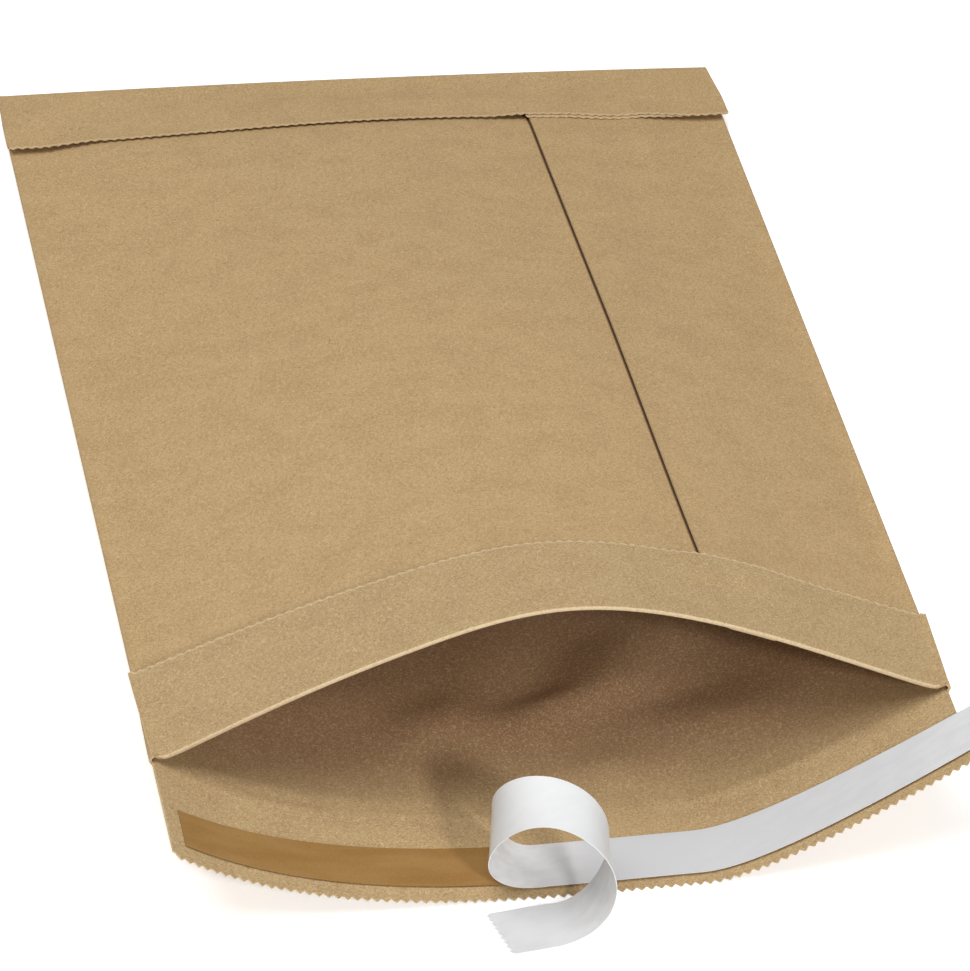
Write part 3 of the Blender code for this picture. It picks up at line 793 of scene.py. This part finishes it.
def make_adhesive():
    sheet = Sheet()
    start = ADHESIVE_START / WIDTH
    shares = np.linspace(start, 1 - start, STEPS)
    last = None
    for w in np.linspace(1, 0, 7):
        row = sheet.row(on_lip(shares, w, ADHESIVE_WIDTH, ADHESIVE_INSETS, LAY + FILM), FILM)
        if last is not None:
            sheet.strip(last, row)
        last = row
    return sheet.solid("adhesive_film", [adhesive_material()], FILM)


def on_liner(s, w):
    return on_lip(s, w, LINER_WIDTH, LINER_INSETS, 2 * LAY + 2 * FILM)


def loop_centre(t):
    """The liner's centre line round its loop, t from 0 to 1."""
    base = on_liner(np.array(LIFT_SHARE), 0.5)
    angle = 2 * math.pi * t
    x = base[0] - LOOP_WIDTH / 2 * math.sin(angle) + LOOP_SHIFT * t
    z = base[2] + LOOP_HEIGHT / 2 * (1 - math.cos(angle))
    z += (TAIL_HEIGHT - base[2]) * float(smooth(t))
    return np.array([x, base[1] - float(spline(LOOP_DRIFT, t)), z])


def loop_section(t):
    """Centre, heading and width direction of the liner in its loop."""
    heading = loop_centre(min(t + 0.002, 1)) - loop_centre(max(t - 0.002, 0))
    heading = heading / np.linalg.norm(heading)
    skew = math.radians(float(spline(LOOP_SKEW, t)))
    lean = math.radians(float(spline(LOOP_LEAN, t))) * float(smooth(t / 0.2))
    side = np.array([math.sin(skew), -math.cos(skew), -math.tan(lean)])
    side = side - heading * np.dot(side, heading)
    return loop_centre(t), heading, side / np.linalg.norm(side)


def make_liner():
    """The release liner: on the lip at the right, then one loose helical turn and a tail."""
    sheet = Sheet()
    places = np.linspace(0, 1, 2 * LINER_TEETH + 1)
    rows = []
    for s in np.linspace(1 + LINER_OVERHANG / WIDTH, LIFT_SHARE + 0.012, 90):
        rows.append(on_liner(np.full(places.shape, s), places))
    turns = 96
    for i in range(turns + 1):
        centre, _, side = loop_section(i / turns)
        rows.append(centre + np.outer((places - 0.5) * LINER_WIDTH, side))
    centre, heading, side = loop_section(1)
    flat = np.array([heading[0], heading[1], 0])
    flat = flat / np.linalg.norm(flat)
    flat[2] = -TAIL_DROP / TAIL_LENGTH
    cut = math.tan(math.radians(TAIL_CUT))
    for share in np.linspace(0, 1, 9)[1:]:
        reach = TAIL_LENGTH * share - (places - 0.5) * LINER_WIDTH * cut * share
        rows.append(centre + np.outer((places - 0.5) * LINER_WIDTH, side) + np.outer(reach, flat))
    teeth = 0.6 + LINER_TOOTH_DEPTH * (np.arange(len(places)) % 2)
    rows.append(rows[-1] + np.outer(teeth, flat))
    stations = (0, 70, 80, 98, 150, len(rows) - 8)  # rows where the greying changes
    # The greying: the lip showing through on the strip, and painted shade where it deepens next to
    # the loop, on the loop's last part and on the tail.
    laid_and_shade = np.interp(np.arange(len(rows)), stations, (0.6, 1, 1, 0, 0, 0.75))
    made = [sheet.row(row, FILM, 0.0, share) for row, share in zip(rows, laid_and_shade)]
    for lower, upper in zip(made, made[1:]):
        sheet.strip(upper, lower)
    white = linear(246, 247, 247)
    materials = [
        liner_material("liner_face", linear(205, 206, 208), linear(246, 246, 246)),
        liner_material("liner_back", linear(222, 223, 224), linear(228, 229, 229)),
        liner_material("liner_edge", linear(236, 237, 238), white),
    ]
    return sheet.solid("liner_ribbon", materials, FILM)


envelope = make_envelope()
adhesive = make_adhesive()
liner = make_liner()
for piece, node, slot in (
    (envelope, "envelope", "kraft"),
    (adhesive, "adhesive_strip", "adhesive"),
    (liner, "release_liner", "liner"),
):
    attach(piece, "root")
    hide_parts(node)

# Floor, light and camera

WHITE = (1.0, 1.0, 1.0, 1.0)
FLOOR_LIFT = 0.45  # what the eye sees of the floor beyond the lamps' light on it


def only_seen(tree):
    """1 for rays that see the background itself or its reflection, 0 for light that it sends."""
    path = tree.nodes.new("ShaderNodeLightPath")
    total = None
    for name in ("Is Camera Ray", "Is Glossy Ray", "Is Transmission Ray"):
        if total is None:
            total = path.outputs[name]
            continue
        add = tree.nodes.new("ShaderNodeMath")
        add.operation = "MAXIMUM"
        tree.links.new(total, add.inputs[0])
        tree.links.new(path.outputs[name], add.inputs[1])
        total = add.outputs[0]
    return total


def make_floor():
    mesh = bpy.data.meshes.new("floor")
    half = 30.0
    corners = [(-half, -half, 0), (half, -half, 0), (half, half, 0), (-half, half, 0)]
    mesh.from_pydata(corners, [], [(0, 1, 2, 3)])
    floor = bpy.data.objects.new("floor", mesh)
    bpy.context.scene.collection.objects.link(floor)
    paint = bpy.data.materials.new("floor")
    paint.use_nodes = True
    shader = paint.node_tree.nodes["Principled BSDF"]
    shader.inputs["Base Color"].default_value = WHITE
    shader.inputs["Roughness"].default_value = 0.9
    shader.inputs["Specular IOR Level"].default_value = 0.0
    shader.inputs["Emission Color"].default_value = WHITE
    lift = paint.node_tree.nodes.new("ShaderNodeMath")
    lift.operation = "MULTIPLY"
    lift.inputs[1].default_value = FLOOR_LIFT
    paint.node_tree.links.new(only_seen(paint.node_tree), lift.inputs[0])
    paint.node_tree.links.new(lift.outputs[0], shader.inputs["Emission Strength"])
    mesh.materials.append(paint)
    floor.location.z = -0.0002


def make_world():
    world = bpy.data.worlds.new("studio")
    bpy.context.scene.world = world
    world.use_nodes = True
    tree = world.node_tree
    sky = tree.nodes["Background"]
    sky.inputs["Color"].default_value = WHITE
    sky.inputs["Strength"].default_value = 0.22
    seen = tree.nodes.new("ShaderNodeBackground")
    seen.inputs["Color"].default_value = WHITE
    seen.inputs["Strength"].default_value = 1.0
    blend = tree.nodes.new("ShaderNodeMixShader")
    tree.links.new(only_seen(tree), blend.inputs[0])
    tree.links.new(sky.outputs[0], blend.inputs[1])
    tree.links.new(seen.outputs[0], blend.inputs[2])
    tree.links.new(blend.outputs[0], tree.nodes["World Output"].inputs["Surface"])


def make_lamp(name, place, aim, size, power):
    light = bpy.data.lights.new(name, "AREA")
    light.shape = "DISK"
    light.size = size
    light.energy = power
    lamp = bpy.data.objects.new(name, light)
    bpy.context.scene.collection.objects.link(lamp)
    lamp.location = place
    lamp.rotation_euler = (Vector(aim) - Vector(place)).to_track_quat("-Z", "Y").to_euler()


def make_camera():
    lens = bpy.data.cameras.new("camera")
    lens.sensor_fit = "HORIZONTAL"
    lens.sensor_width = 36.0
    lens.lens = 204.14
    camera = bpy.data.objects.new("camera", lens)
    bpy.context.scene.collection.objects.link(camera)
    turn = Matrix(
        (
            (0.98415, 0.05323, -0.16918),
            (-0.16645, 0.60647, -0.77749),
            (0.06122, 0.79332, 0.60572),
        )
    ).to_4x4()
    place = (np.array([-277.848, -1528.096, 1020.159]) + ORIGIN) * MM
    camera.matrix_world = Matrix.Translation(Vector(place)) @ turn
    bpy.context.scene.camera = camera


make_floor()
make_world()
make_lamp("key", (-0.58, -0.18, 2.0), (0, 0, 0), 1.8, 32)
make_lamp("front", (0.44, -1.6, 1.0), (0, -0.1, 0), 0.25, 14)
make_camera()
bpy.context.scene.view_settings.view_transform = "Standard"
